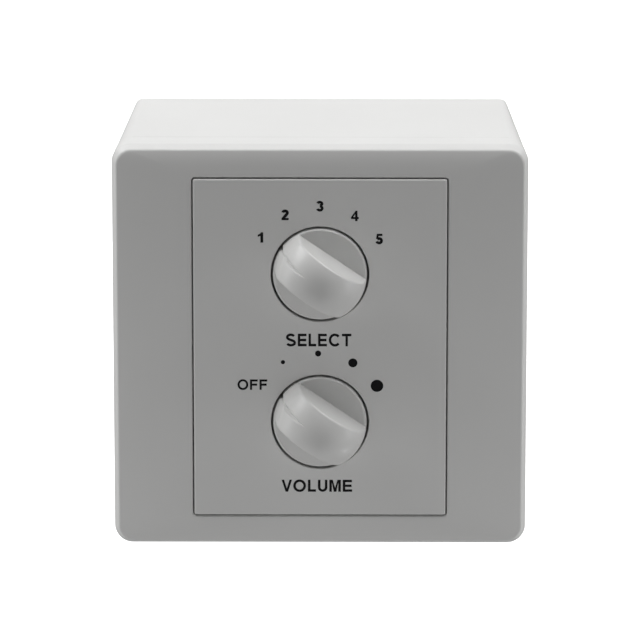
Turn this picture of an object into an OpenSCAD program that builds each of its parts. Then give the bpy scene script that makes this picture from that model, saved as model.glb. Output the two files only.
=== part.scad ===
// Wall volume control: a tapered surface box, a square snap-on frame, an insert panel and two pointer knobs,
// each knob on a five-position rotary switch, with a tapped line transformer behind them.
// The modules are drawn with x to the right, y up and z out of the wall. hang() turns that so that +Z is up
// and the front faces -Y. The origin is the middle of the box's back face, and values that end in _z are
// distances from the wall.

/* [Front frame] */
// Side of the square front frame
plate_w = 86; // [84:1:100]
// Corner radius of the front frame
plate_r = 3.8; // [2:0.2:6]
// Wall of the front frame
frame_wall = 2.2; // [1.6:0.1:2.6]
// Depth of the drafted edge in front of the frame's widest line
edge_depth = 1.5; // [1:0.1:2.4]
// Step in of the drafted edge at its front
edge_in = 0.6; // [0.2:0.1:0.8]
// Radius between the drafted edge and the face
edge_r = 0.7; // [0.3:0.1:0.8]
// Fall of the pillowed face from the window to the outer edge
face_fall = 0.55; // [0.2:0.05:1]
// Bevel round the window
window_bevel = 0.3; // [0.1:0.05:0.5]
// Band of the frame above and below the window
top_band = 6.6; // [6:0.1:9]
// Band of the frame left and right of the window
side_band = 16.5; // [14.5:0.1:18]
// Width of a snap hook
hook_w = 6; // [4:0.5:8]
// Thickness of a snap hook
hook_t = 1.6; // [1.2:0.1:2]
// Barb of a snap hook behind the support plate
hook_barb = 0.8; // [0.5:0.1:1]
// Distance between the two hooks on a side
hook_pitch = 40; // [30:1:50]

/* [Insert panel] */
// Gap between the insert and the window
insert_gap = 0.3; // [0.2:0.05:0.5]
// Height of the insert above the frame round it
insert_proud = 0.2; // [0:0.05:0.4]
// Corner radius of the insert
insert_r = 0.4; // [0.3:0.1:2]
// Thickness of the insert in front of its flange
insert_t = 3.4; // [3:0.1:4]
// Bevel round the front edge of the insert
insert_bevel = 0.3; // [0.1:0.05:0.6]
// Overlap of the flange behind the frame
flange_over = 2.5; // [1.5:0.1:3]
// Thickness of the flange
flange_t = 1.4; // [1:0.1:1.6]
// Diameter of the feet that stand on the support plate
foot_d = 4; // [3:0.2:5]
// Wall of the knob wells
well_wall = 1.5; // [1:0.1:2]
// Floor of the knob wells
well_floor_t = 1.2; // [0.8:0.1:1.6]

/* [Knobs] */
// Diameter of the dial
knob_d = 19.5; // [17:0.1:22]
// Height of the knob above the panel
knob_rise = 11.75; // [10:0.05:15]
// Depth of the dial below the panel
dial_t = 4; // [3.4:0.1:6]
// Width of the ridge at the panel
ridge_w = 9.2; // [8:0.1:11]
// Draft angle of the ridge's sides
ridge_draft = 1; // [0:0.25:3]
// Inset of the ridge's ends from the dial's rim
ridge_inset = 0.05; // [0.02:0.01:0.3]
// Height of the dial above the panel
dial_rise = 0.4; // [0:0.05:0.8]
// Radius of the dial's front edge
dial_edge = 0.5; // [0.2:0.05:0.8]
// Width of the pointer groove at the rim
groove_w = 0.9; // [0.5:0.1:1.4]
// Distance from the axis at which the pointer groove runs out
groove_start = 4.2; // [2:0.1:6]
// Height above the panel at which the pointer groove turns down the end of the ridge
groove_bend = 0.8; // [0.4:0.1:2]
// Skirt of the dial
skirt_t = 1.6; // [1.2:0.1:2]
// Hub round the shaft
hub_d = 10; // [8.6:0.1:11]
// Depth of the hollow under the dial
hollow_h = 2; // [1:0.1:2.5]
// Radial gap between the dial and its well
knob_gap = 0.45; // [0.3:0.05:0.8]
// Gap under the knob, over the well's floor
knob_lift = 0.6; // [0.4:0.1:1.2]
// Distance between the two knobs
knob_pitch = 31.8; // [30:0.1:34]
// Angle of the first position, from the right, anticlockwise
first_angle = 145.5; // [120:0.5:180]

/* [Rotary switches] */
// Number of positions
positions = 5; // [2:1:6]
// Angle between two positions
step_angle = 30; // [30, 36]
// Diameter of the shaft
shaft_d = 6; // [5.6:0.1:6.35]
// Shaft across its flat
shaft_flat = 4.5; // [4:0.1:5.2]
// Length of the shaft inside the knob
shaft_in_knob = 9.5; // [6:0.1:11]
// Diameter of the shaft's end in the cover
journal_d = 3; // [2:0.1:4]
// Running clearance of the shaft, on the radius
shaft_fit = 0.04; // [0.02:0.01:0.08]
// Clearance of parts pushed on to or through another, on the radius
push_fit = 0.06; // [0.04:0.01:0.15]
// Diameter of the threaded bushing
bushing_d = 9; // [8.4:0.1:10]
// Diameter of the bushing's flange
bushing_flange_d = 13; // [11:0.1:16]
// Thickness of the bushing's flange
bushing_flange_t = 1; // [0.6:0.1:1.2]
// Bushing standing out of the nut
bushing_proud = 0.4; // [0.2:0.1:1]
// Gap between the bushing's end and the well's floor
bushing_gap = 1.2; // [0.4:0.1:3]
// Diameter of the lock washer
washer_d = 14; // [12:0.1:17]
// Thickness of the lock washer
washer_t = 0.6; // [0.4:0.1:1]
// Nut across its flats
nut_af = 12; // [11:0.1:14]
// Thickness of the nut
nut_t = 2.2; // [1.6:0.1:3]
// Diameter of the switch housing
housing_d = 26; // [25.6:0.1:28]
// Depth of the switch housing
housing_h = 9; // [8.6:0.1:12]
// Front wall of the housing
housing_front = 2; // [1.4:0.1:2.4]
// Side wall of the housing
housing_wall = 2.2; // [1.9:0.1:2.4]
// Radius of the detent notches
notch_r = 1.2; // [0.8:0.1:1.3]
// Thickness of the cover
cover_t = 1.5; // [1.2:0.1:2.5]
// Thickness of the rotor
rotor_t = 4.2; // [3.4:0.1:4.4]
// Gap round the rotor
rotor_gap = 0.8; // [0.5:0.1:1]
// Gap between the rotor and the bushing
rotor_lift = 0.3; // [0.2:0.05:0.5]
// Diameter of the detent ball
ball_d = 2.4; // [2:0.1:2.6]
// Clearance of the ball from the crests between notches
ball_gap = 0.25; // [0.2:0.05:0.4]
// Wire of the detent spring
spring_wire = 0.35; // [0.25:0.05:0.4]
// Turns of the detent spring
spring_turns = 4; // [3:1:5]
// Wall between the shaft and the spring's bore
spring_wall = 1; // [0.6:0.1:1.4]
// Thickness of the wiper
wiper_t = 0.4; // [0.3:0.05:0.5]
// Width of the wiper
wiper_w = 2.4; // [1.8:0.1:3]
// Diameter of the wiper's two bumps
bump_d = 1.2; // [0.8:0.1:1.6]
// Distance of the fixed contacts inside the rotor's edge
contact_in = 2; // [1.4:0.1:2.4]
// Diameter of a fixed contact
contact_d = 2.2; // [1.8:0.1:2.8]
// Thickness of the fixed contacts
contact_t = 0.3; // [0.2:0.05:0.4]
// Gap between the wiper and the fixed contacts
contact_gap = 0.15; // [0.1:0.05:0.3]
// Middle radius of the common ring
common_r = 4.9; // [4.5:0.1:5.4]
// Width of the common ring
common_w = 1.4; // [1:0.1:1.8]
// Diameter of a contact pin
pin_d = 0.9; // [0.7:0.1:1.1]
// Pins standing out behind the board
pin_tail = 0.8; // [0.5:0.1:1.2]

/* [Support plate] */
// Thickness of the support plate
support_t = 1.5; // [1:0.1:2]
// Gap between the support plate and the box
support_gap = 0.3; // [0.2:0.1:1]
// Play of holes and slots in plates and boards, on the radius
hole_play = 0.15; // [0.1:0.05:0.3]
// Distance between the fixing screws
fix_pitch = 60.3; // [60:0.1:62]
// Diameter of the fixing screws
fix_d = 3.5; // [3:0.1:4]
// Length of the fixing screws
fix_len = 14; // [12:0.5:18]
// Diameter of the fixing screws' heads
fix_head_d = 7; // [6:0.1:8]
// Height of the fixing screws' heads
fix_head_h = 2.4; // [1.8:0.1:3]
// Slot in the support plate beyond the screw, for levelling
level_slot = 2; // [1:0.5:3]

/* [Circuit board] */
// Thickness of the board
board_t = 1.6; // [1:0.1:2.4]
// Board beyond the middle of its spacers
board_edge = 3; // [2.9:0.1:4]
// Gap between the board and the switch covers
board_gap = 3.4; // [3.2:0.1:6]
// Spacers across their flats
spacer_af = 5; // [4.8:0.1:5.4]
// Diameter of the spacers' studs in the support plate
spacer_stud_d = 4; // [3.4:0.1:4.4]
// Distance of the spacers outside the parts on the board
spacer_out = 2.5; // [2.4:0.1:3.5]
// Diameter of the small screws
screw_d = 2.5; // [2:0.1:3]
// Diameter of the small screws' heads
screw_head_d = 4.6; // [4:0.1:5]
// Height of the small screws' heads
screw_head_h = 1.6; // [1:0.1:2]
// Length of the board screws
board_screw_len = 6; // [4:0.5:9]

/* [Transformer] */
// Width of the core
core_w = 35; // [33:0.5:37]
// Height of the core
core_h = 30; // [28:0.5:31]
// Stack of the core
core_stack = 9; // [7:0.5:14]
// Width of the middle limb
limb_w = 10; // [9:0.5:11]
// Width of the outer legs and yokes
leg_w = 5; // [4.6:0.1:5.2]
// Height of the transformer's middle above the middle of the plate
transformer_y = 14; // [12:0.5:15]
// Wall of the bobbin
bobbin_t = 0.8; // [0.5:0.1:1]
// Clearance of the bobbin in the core
bobbin_gap = 0.2; // [0.1:0.05:0.3]
// Thickness of the winding
winding_t = 3.2; // [2:0.1:4]
// Thickness of the tape
tape_t = 0.25; // [0.1:0.05:0.4]
// Bobbin flange beyond the tape
bobbin_lip = 0.35; // [0.2:0.05:0.8]
// Gap between the coil and the board
coil_gap = 2; // [1.6:0.1:5]
// Across the flats of the transformer's nuts
small_nut_af = 5; // [4.6:0.1:5.2]
// Thickness of the transformer's nuts
small_nut_t = 2; // [1.4:0.1:2.4]
// Wall of the transformer's tubular spacers
tube_wall = 1; // [0.6:0.1:1.2]
// Diameter of a lead
lead_d = 1.2; // [0.8:0.1:1.6]
// Leads on each side
leads = 3; // [1:1:4]
// Distance between leads
lead_pitch = 4.5; // [3:0.1:5]

/* [Terminals] */
// Number of poles
poles = 6; // [2:1:6]
// Distance between poles
pole_pitch = 5.08; // [5:0.01:5.4]
// End walls of the terminal block
block_end = 0.6; // [0.4:0.1:1]
// Depth of the terminal block along the wire
block_d = 8.5; // [8:0.1:10]
// Height of the terminal block behind the board
block_h = 10; // [9.4:0.1:12]
// Distance of the terminal block's middle below the middle of the plate
block_drop = 27.8; // [26:0.1:29]
// Width of a cage
cage_w = 3.4; // [2.8:0.1:3.8]
// Length of a cage along the wire
cage_len = 5; // [4:0.1:6]
// Height of a cage
cage_h = 4.4; // [4:0.1:5]
// Diameter of the wire's hole in a cage
wire_d = 2.2; // [1.5:0.1:2.6]
// Clearance of a cage in its chamber
cage_gap = 0.2; // [0.1:0.05:0.3]
// Wall between the chambers and the board
block_floor = 1.6; // [1:0.1:2]
// Sinking of the terminal screws below the block's back
terminal_sink = 0.4; // [0.2:0.1:1]

/* [Box] */
// Side of the square box at the wall
box_back_w = 79.8; // [78:0.2:84]
// Corner radius of the box at the wall
box_back_r = 1.6; // [1:0.1:4]
// Side wall of the box
box_wall = 2.2; // [1.6:0.1:3]
// Back wall of the box
back_t = 2.5; // [2:0.1:4]
// Room for wires behind the coil
wire_space = 6.5; // [4.5:0.1:15]
// Step of the box's rim inside the frame's widest line
seam_in = 0.4; // [0:0.05:1]
// Diameter of the screw posts
post_d = 8.5; // [7.5:0.1:9]
// Wall of the threaded inserts
post_insert_wall = 1; // [0.6:0.1:1.2]
// Length of the threaded inserts
post_insert_len = 10; // [6:0.5:14]
// Depth of the bore in the posts
post_bore_h = 20; // [18.5:0.5:26]
// Thickness of the ribs that tie the posts to the side walls
rib_t = 2; // [1.5:0.1:3]
// Diameter of the corner bosses
boss_d = 7; // [6:0.1:8]
// Distance of the corner bosses from the middle
boss_at = 35; // [34:0.1:35.4]
// Diameter of the wall screw holes
wall_hole_d = 4.5; // [3.5:0.1:5.5]
// Distance between the wall screw holes
wall_hole_pitch = 60; // [54:0.5:64]
// Diameter of the rear cable entry
entry_d = 16; // [8:0.5:18]
// Distance of the cable entry below the middle of the back
entry_drop = 14; // [12:0.5:16]
// Diameter of the knock-outs in the top and bottom walls
knockout_d = 20; // [12:0.5:25]
// Web left in a knock-out
knockout_web = 0.9; // [0.5:0.1:1.4]

/* [Hidden] */
// Curves of drilled and turned parts, and of rounded outlines
$fn = 48;
corner_steps = 8;
dome_steps = 24;
// Reach of a cut beyond the face it starts from
cut = 1;
// Thickness of the slices that a hull is stretched over
slice = 0.02;

// Transformer, from the wall outwards
coil_over = bobbin_gap + bobbin_t + winding_t + tape_t + bobbin_lip;
coil_back_z = back_t + wire_space;
core_back_z = coil_back_z + coil_over;
core_front_z = core_back_z + core_stack;
coil_front_z = core_front_z + coil_over;
// Board, switches, support plate and rim
board_back_z = coil_front_z + coil_gap;
board_front_z = board_back_z + board_t;
cover_back_z = board_front_z + board_gap;
cover_front_z = cover_back_z + cover_t;
support_back_z = cover_front_z + housing_h;
rim_z = support_back_z + support_t;
housing_inner_z = support_back_z - housing_front;
bushing_back_z = housing_inner_z - bushing_flange_t;
rotor_front_z = bushing_back_z - rotor_lift;
rotor_back_z = rotor_front_z - rotor_t;
contact_front_z = cover_front_z + contact_t;
nut_back_z = rim_z + washer_t;
bushing_front_z = nut_back_z + nut_t + bushing_proud;
// Well, knob and panel
well_back_z = bushing_front_z + bushing_gap;
well_floor_z = well_back_z + well_floor_t;
knob_back_z = well_floor_z + knob_lift;
face_z = knob_back_z + dial_t;
flange_front_z = face_z - insert_t;
flange_back_z = flange_front_z - flange_t;
knob_top_z = face_z + knob_rise;
dome_r = knob_d / 2 - ridge_inset;
shaft_top_z = knob_back_z + shaft_in_knob;

// Outlines
window_w = plate_w - 2 * side_band;
window_h = plate_w - 2 * top_band;
insert_w = window_w - 2 * insert_gap;
insert_h = window_h - 2 * insert_gap;
flange_w = insert_w + 2 * flange_over;
flange_h = insert_h + 2 * flange_over;
frame_z = face_z - insert_proud;
side_z = frame_z - face_fall - edge_r - edge_depth;
rim_half = plate_w / 2 - seam_in;
back_half = box_back_w / 2;
box_slope = (rim_half - back_half) / rim_z;
box_tilt = atan(box_slope);
support_w = 2 * (rim_half - box_wall - support_gap);
well_d = knob_d + 2 * knob_gap;
select_y = knob_pitch / 2;
volume_y = -knob_pitch / 2;
sweep_angle = step_angle * (positions - 1);

// Switch
bore_d = shaft_d + 2 * shaft_fit;
housing_r = housing_d / 2 - housing_wall;
rotor_r = housing_r - rotor_gap;
contact_circle = rotor_r - contact_in;
ball_at = housing_r - ball_gap - ball_d / 2;
ball_z = (rotor_back_z + rotor_front_z) / 2;
spring_start = shaft_d / 2 + spring_wall;
spring_bore_d = ball_d + 2 * push_fit;
notch_count = 360 / step_angle;

// Board and what stands on it
block_w = poles * pole_pitch + 2 * block_end;
block_y = -block_drop;
block_bottom = block_y - block_d / 2;
spacer_x = max(core_w, block_w) / 2 + spacer_out;
spacer_top = transformer_y + core_h / 2 + spacer_out;
spacer_bottom = block_y;
board_w = 2 * (spacer_x + board_edge);
board_top = spacer_top + board_edge;
board_bottom = block_bottom;
core_screw_x = core_w / 2 - leg_w / 2;
core_screw_y = core_h / 2 - leg_w / 2;
hole_d = screw_d + 2 * hole_play;
spacer_points = [for (x = [-spacer_x, spacer_x], y = [spacer_bottom, spacer_top]) [x, y]];
core_screw_points = [for (x = [-1, 1], y = [-1, 1]) [x * core_screw_x, transformer_y + y * core_screw_y]];
switch_pins = [for (i = [0 : positions - 1]) contact_circle * heading(first_angle - i * step_angle)];
common_pin = common_r * heading(first_angle - sweep_angle / 2 + 180);
pole_x = [for (i = [0 : poles - 1]) (i - (poles - 1) / 2) * pole_pitch];
lead_y = [for (i = [0 : leads - 1]) transformer_y + (i - (leads - 1) / 2) * lead_pitch];

// Coil
window_side = core_w / 2 - leg_w - limb_w / 2;
coil_len = core_h - 2 * leg_w - 2 * bobbin_gap;
wound_w = limb_w + 2 * (bobbin_gap + bobbin_t + winding_t);
wound_h = core_stack + 2 * (bobbin_gap + bobbin_t + winding_t);
taped_w = wound_w + 2 * tape_t;
taped_h = wound_h + 2 * tape_t;
core_mid_z = (core_back_z + core_front_z) / 2;

// Terminals
cage_front_z = board_back_z - block_floor;
cage_back_z = cage_front_z - cage_h;
block_back_z = board_back_z - block_h;
cage_y = block_bottom + block_d - cage_len / 2 - block_floor;
terminal_head_z = block_back_z + terminal_sink;

// Fixing posts
post_x = fix_pitch / 2;
post_insert_d = fix_d + 2 * post_insert_wall;
hook_x = support_w / 2 - hook_t - 2 * hook_barb - support_gap;

// Unit step in a direction of the panel
function heading(angle) = [cos(angle), sin(angle)];

// Corner points of a rectangle with round corners
function rounded_points(w, h, r) = [
    for (i = [0 : 3], s = [0 : corner_steps])
        let (a = 90 * i + 90 * s / corner_steps, sx = (i == 0 || i == 3) ? 1 : -1, sy = i < 2 ? 1 : -1)
            [sx * (w / 2 - r), sy * (h / 2 - r)] + r * heading(a)
];

// Turns a module drawn on the wall upright
module hang() {
    rotate([90, 0, 0]) children();
}

module rounded_rect(w, h, r) {
    polygon(rounded_points(w, h, r));
}

// Rectangular block about the middle of the plate between two distances from the wall
module slab(w, h, z0, z1) {
    translate([-w / 2, -h / 2, z0]) cube([w, h, z1 - z0]);
}

// Round bar between two distances from the wall
module rod(d, z0, z1) {
    translate([0, 0, z0]) cylinder(d = d, h = z1 - z0);
}

// Hexagonal bar of a given width across its flats
module hex_rod(af, z0, z1) {
    translate([0, 0, z0]) cylinder(d = af / cos(30), h = z1 - z0, $fn = 6);
}

// Round bar with one flat, which faces away from the pointer
module flat_rod(d, flat, z0, z1) {
    intersection() {
        rod(d, z0, z1);
        translate([d / 2 - flat, -d, z0 - cut]) cube([2 * d, 2 * d, z1 - z0 + 2 * cut]);
    }
}

module at_points(points) {
    for (p = points) translate([p[0], p[1], 0]) children();
}

// Moves a switch or knob part, drawn about its axis with the pointer along +x, to its place at rest
module on_axis(y) {
    translate([0, y, 0]) rotate([0, 0, first_angle]) children();
}

// Tube swept along points, whose rings are set out from a direction that is never along the path
module swept_tube(points, d, side, sides = 8) {
    last = len(points) - 1;
    rings = [
        for (i = [0 : last])
            let (
                ahead = points[min(i + 1, last)] - points[max(i - 1, 0)],
                u = cross(ahead, side) / norm(cross(ahead, side)),
                v = cross(u, ahead) / norm(cross(u, ahead))
            )
                for (k = [0 : sides - 1])
                    points[i] + d / 2 * (cos(360 * k / sides) * u + sin(360 * k / sides) * v)
    ];
    walls = [
        for (i = [0 : last - 1], k = [0 : sides - 1])
            let (a = i * sides + k, b = i * sides + (k + 1) % sides)
                each [[a, b, b + sides], [a, b + sides, a + sides]]
    ];
    caps = [
        for (k = [1 : sides - 2])
            each [[0, k + 1, k], [last * sides, last * sides + k, last * sides + k + 1]]
    ];
    polyhedron(rings, concat(walls, caps));
}

// Slice of the box's outside, or of its inside when a wall is taken off
module box_slice(z, wall) {
    half = back_half + box_slope * z - wall;
    r = box_back_r + (plate_r - box_back_r) * z / rim_z;
    translate([0, 0, z - slice / 2])
        linear_extrude(slice)
            rounded_rect(2 * half, 2 * half, max(r - wall, box_back_r / 2));
}

// Box

module box_outside() {
    hull() {
        box_slice(slice / 2, 0);
        box_slice(rim_z - slice / 2, 0);
    }
}

module box_inside() {
    hull() {
        box_slice(back_t + slice / 2, box_wall);
        box_slice(rim_z + slice, box_wall);
    }
}

module box_posts() {
    for (side = [-1, 1]) {
        translate([side * post_x, 0, 0]) rod(post_d, 0, support_back_z);
        translate([side * (post_x + back_half) / 2, 0, 0])
            slab(back_half - post_x, rib_t, 0, support_back_z);
    }
    at_points([for (x = [-boss_at, boss_at], y = [-boss_at, boss_at]) [x, y]])
        rod(boss_d, 0, support_back_z);
}

module box_knockout() {
    knockout_z = (back_t + support_back_z) / 2;
    reach = 2 * box_wall;
    translate([0, back_half + box_slope * knockout_z, knockout_z])
        rotate([90 - box_tilt, 0, 0])
            rod(knockout_d, knockout_web, reach);
}

module back_box() {
    color("gainsboro") hang() difference() {
        box_outside();
        difference() {
            box_inside();
            box_posts();
        }
        box_knockout();
        mirror([0, 1, 0]) box_knockout();
        for (side = [-1, 1]) {
            translate([side * post_x, 0, 0])
                rod(post_insert_d + 2 * push_fit, support_back_z - post_bore_h, support_back_z + cut);
            translate([0, side * wall_hole_pitch / 2, 0]) rod(wall_hole_d, -cut, back_t + cut);
        }
        translate([0, -entry_drop, 0]) rod(entry_d, -cut, back_t + cut);
    }
}

module post_inserts() {
    color("goldenrod") hang() for (side = [-1, 1]) translate([side * post_x, 0, 0]) difference() {
        rod(post_insert_d, support_back_z - post_insert_len, support_back_z);
        rod(fix_d + 2 * push_fit, support_back_z - post_insert_len - cut, support_back_z + cut);
    }
}

// Support plate

module support_plate() {
    slot_h = fix_d + 2 * hole_play;
    hook_slot_w = hook_t + 2 * hook_barb;
    color("silver") hang() difference() {
        translate([0, 0, support_back_z]) linear_extrude(support_t) difference() {
            rounded_rect(support_w, support_w, plate_r);
            for (side = [-1, 1]) translate([side * post_x, 0])
                rounded_rect(slot_h + level_slot, slot_h, slot_h / 2 - hole_play);
            for (side = [-1, 1], y = [-hook_pitch / 2, hook_pitch / 2])
                translate([side * (hook_x + hook_t / 2), y])
                    square([hook_slot_w, hook_w + 2 * hole_play], center = true);
        }
        for (y = [select_y, volume_y]) translate([0, y, 0])
            rod(bushing_d + 2 * hole_play, support_back_z - cut, rim_z + cut);
        at_points(spacer_points) rod(spacer_stud_d + 2 * push_fit, support_back_z - cut, rim_z + cut);
    }
}

module plate_screws() {
    slot_d = fix_d / 5;
    color("silver") hang() for (side = [-1, 1]) translate([side * post_x, 0, 0]) difference() {
        union() {
            rod(fix_d, rim_z - fix_len, rim_z + slice);
            rod(fix_head_d, rim_z, rim_z + fix_head_h);
        }
        slab(2 * fix_head_d, slot_d, rim_z + fix_head_h / 2, rim_z + fix_head_h + cut);
    }
}

// Front frame

// One outline of the frame's outside: its step in from the widest line and its height
module frame_slice(in_x, in_y, r, z) {
    translate([0, 0, z - slice])
        linear_extrude(slice)
            rounded_rect(plate_w - 2 * in_x, plate_w - 2 * in_y, r);
}

module frame_outside() {
    round_angles = [0, 30, 60];
    face_steps = [0, 0.25, 0.5, 0.75, 1];
    edge_front_z = side_z + edge_depth;
    face_in = edge_in + edge_r;
    face_r = plate_r - face_in;
    window_r = insert_r + insert_gap;
    hull() {
        frame_slice(seam_in, seam_in, plate_r, rim_z + slice);
        frame_slice(0, 0, plate_r, side_z);
        for (a = round_angles) {
            in = edge_in + edge_r * (1 - cos(a));
            frame_slice(in, in, plate_r - in, edge_front_z + edge_r * sin(a));
        }
        for (t = face_steps)
            frame_slice(
                face_in + t * (side_band - face_in),
                face_in + t * (top_band - face_in),
                face_r + t * (window_r - face_r),
                frame_z - face_fall * pow(1 - t, 3)
            );
    }
}

// Opening of the frame, with a bevel round its front edge
module frame_window() {
    window_r = insert_r + insert_gap;
    translate([0, 0, flange_front_z - cut])
        linear_extrude(frame_z - flange_front_z + 2 * cut) rounded_rect(window_w, window_h, window_r);
    hull() {
        translate([0, 0, frame_z - window_bevel])
            linear_extrude(slice) rounded_rect(window_w, window_h, window_r);
        translate([0, 0, frame_z])
            linear_extrude(slice)
                rounded_rect(window_w + 2 * window_bevel, window_h + 2 * window_bevel, window_r + window_bevel);
    }
}

// Leg with a barb that catches behind the support plate, on the right of the frame
module frame_hook() {
    foot_z = support_back_z - hook_barb - 2 * hole_play;
    translate([hook_x, -hook_w / 2, foot_z]) cube([hook_t, hook_w, flange_front_z - foot_z + slice]);
    translate([hook_x + hook_t - slice, -hook_w / 2, foot_z])
        cube([hook_barb, hook_w, support_back_z - hole_play - foot_z]);
}

module trim_frame() {
    cavity_w = 2 * (rim_half - frame_wall);
    color("whitesmoke") hang() {
        difference() {
            frame_outside();
            translate([0, 0, rim_z - cut])
                linear_extrude(flange_front_z - rim_z + cut)
                    rounded_rect(cavity_w, cavity_w, plate_r - frame_wall / 2);
            frame_window();
        }
        for (turn = [0, 180], y = [-hook_pitch / 2, hook_pitch / 2])
            translate([0, y, 0]) rotate([0, 0, turn]) frame_hook();
    }
}

// Insert panel

module insert_front() {
    hull() {
        translate([0, 0, flange_front_z - slice])
            linear_extrude(insert_t - insert_bevel + slice) rounded_rect(insert_w, insert_h, insert_r);
        translate([0, 0, face_z - slice])
            linear_extrude(slice)
                rounded_rect(insert_w - 2 * insert_bevel, insert_h - 2 * insert_bevel, insert_r);
    }
}

module insert_panel() {
    foot_in = foot_d / 2;
    feet = [for (x = [-1, 1], y = [-1, 1]) [x * (flange_w / 2 - foot_in), y * (flange_h / 2 - foot_in)]];
    shaft_hole = shaft_d + 2 * knob_lift;
    color("whitesmoke") hang() difference() {
        union() {
            insert_front();
            slab(flange_w, flange_h, flange_back_z, flange_front_z);
            for (y = [select_y, volume_y]) translate([0, y, 0])
                rod(well_d + 2 * well_wall, well_back_z, flange_front_z - flange_t / 2);
            at_points(feet) rod(foot_d, rim_z, flange_front_z - flange_t / 2);
        }
        for (y = [select_y, volume_y]) translate([0, y, 0]) {
            rod(well_d, well_floor_z, face_z + cut);
            rod(shaft_hole, well_back_z - cut, well_floor_z + cut);
        }
    }
}

// Knobs

module knob_dial() {
    dial_z = face_z + dial_rise;
    edge_mid = [knob_d / 2 - dial_edge, dial_z - dial_edge];
    edge = [for (i = [0 : corner_steps]) edge_mid + dial_edge * heading(90 * i / corner_steps)];
    rotate_extrude() polygon(concat([[0, knob_back_z], [knob_d / 2, knob_back_z]], edge, [[0, dial_z]]));
}

// Ridge across the dial: a strip with drafted sides, cut from a tall dome that ends upright at the rim
module knob_ridge() {
    foot_z = knob_back_z + hollow_h;
    dome = [
        for (i = [0 : dome_steps])
            let (a = 90 * i / dome_steps)
                [dome_r * cos(a), face_z + knob_rise * sin(a)]
    ];
    strip = [
        for (end = [[-1, foot_z], [1, foot_z], [1, knob_top_z + cut], [-1, knob_top_z + cut]])
            [end[0] * (ridge_w / 2 - tan(ridge_draft) * (end[1] - face_z)), end[1]]
    ];
    intersection() {
        rotate_extrude() polygon(concat([[0, foot_z], [dome_r, foot_z]], dome));
        translate([-knob_d, 0, 0]) rotate([90, 0, 90]) linear_extrude(2 * knob_d) polygon(strip);
    }
}

// Groove along the pointer: a V that runs out on the dome near the axis, is deepest at the rim and goes on
// down the end of the ridge
module knob_groove() {
    reach = dome_r - groove_w / 2;
    rise = knob_rise * sqrt(1 - pow(groove_start / dome_r, 2)) - groove_bend;
    mid_x = (reach * reach - groove_start * groove_start - rise * rise) / (2 * (reach - groove_start));
    bend_z = face_z + groove_bend;
    vee = [[0, 0], [groove_w, -groove_w], [groove_w, groove_w]];
    translate([mid_x, 0, bend_z])
        rotate([90, 0, 0])
            rotate_extrude(angle = atan2(rise, groove_start - mid_x)) translate([reach - mid_x, 0]) polygon(vee);
    translate([reach, 0, knob_back_z - cut])
        linear_extrude(bend_z - knob_back_z + cut + slice) polygon(vee);
}

module knob(y) {
    color("white") hang() on_axis(y) difference() {
        union() {
            knob_dial();
            knob_ridge();
        }
        knob_groove();
        difference() {
            rod(knob_d - 2 * skirt_t, knob_back_z - cut, knob_back_z + hollow_h);
            rod(hub_d, knob_back_z - 2 * cut, knob_back_z + hollow_h + cut);
        }
        flat_rod(shaft_d + 2 * push_fit, shaft_flat + 2 * push_fit, knob_back_z - cut, shaft_top_z + push_fit);
    }
}

// Rotary switches

module switch_shaft(y) {
    color("silver") hang() on_axis(y) {
        rod(shaft_d, rotor_front_z, knob_back_z);
        flat_rod(shaft_d, shaft_flat, knob_back_z - slice, shaft_top_z);
        flat_rod(shaft_d, shaft_flat, rotor_back_z, rotor_front_z + slice);
        rod(journal_d, cover_back_z, rotor_back_z + slice);
    }
}

module switch_rotor(y) {
    color("ivory") hang() on_axis(y) difference() {
        rod(2 * rotor_r, rotor_back_z, rotor_front_z);
        flat_rod(shaft_d + 2 * push_fit, shaft_flat + 2 * push_fit, rotor_back_z - cut, rotor_front_z + cut);
        translate([-spring_start, 0, ball_z]) rotate([0, -90, 0]) rod(spring_bore_d, 0, rotor_r);
    }
}

module switch_wiper(y) {
    reach = contact_circle - common_r;
    wiper_back_z = rotor_back_z - wiper_t;
    color("goldenrod") hang() on_axis(y) {
        translate([common_r + reach / 2, 0, 0]) slab(reach + wiper_w, wiper_w, wiper_back_z, rotor_back_z);
        at_points([[common_r, 0], [contact_circle, 0]])
            rod(bump_d, contact_front_z + contact_gap, wiper_back_z + slice);
    }
}

// Spring behind the ball, wound along the bore away from the pointer
module switch_spring(y) {
    coil_r = (ball_d - 2 * spring_wire) / 2;
    coil_steps = 10;
    spring_end = ball_at - ball_d / 2;
    run = spring_end - spring_start - spring_wire;
    total = spring_turns * coil_steps;
    path = [
        for (i = [0 : total])
            [coil_r * cos(360 * i / coil_steps), coil_r * sin(360 * i / coil_steps), run * i / total]
    ];
    color("silver") hang() on_axis(y)
        translate([-spring_start - spring_wire / 2, 0, ball_z])
            rotate([0, -90, 0])
                swept_tube(path, spring_wire, [0, 0, 1], 6);
}

module switch_ball(y) {
    color("silver") hang() on_axis(y) translate([-ball_at, 0, ball_z]) sphere(d = ball_d);
}

module switch_bushing(y) {
    color("silver") hang() on_axis(y) difference() {
        union() {
            rod(bushing_d, bushing_back_z, bushing_front_z);
            rod(bushing_flange_d, bushing_back_z, housing_inner_z);
        }
        rod(bore_d, bushing_back_z - cut, bushing_front_z + cut);
    }
}

module switch_washer(y) {
    color("silver") hang() on_axis(y) difference() {
        rod(washer_d, rim_z, nut_back_z);
        rod(bushing_d + 2 * hole_play, rim_z - cut, nut_back_z + cut);
    }
}

module switch_nut(y) {
    color("silver") hang() on_axis(y) difference() {
        hex_rod(nut_af, nut_back_z, nut_back_z + nut_t);
        rod(bushing_d + 2 * push_fit, nut_back_z - cut, nut_back_z + nut_t + cut);
    }
}

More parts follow.
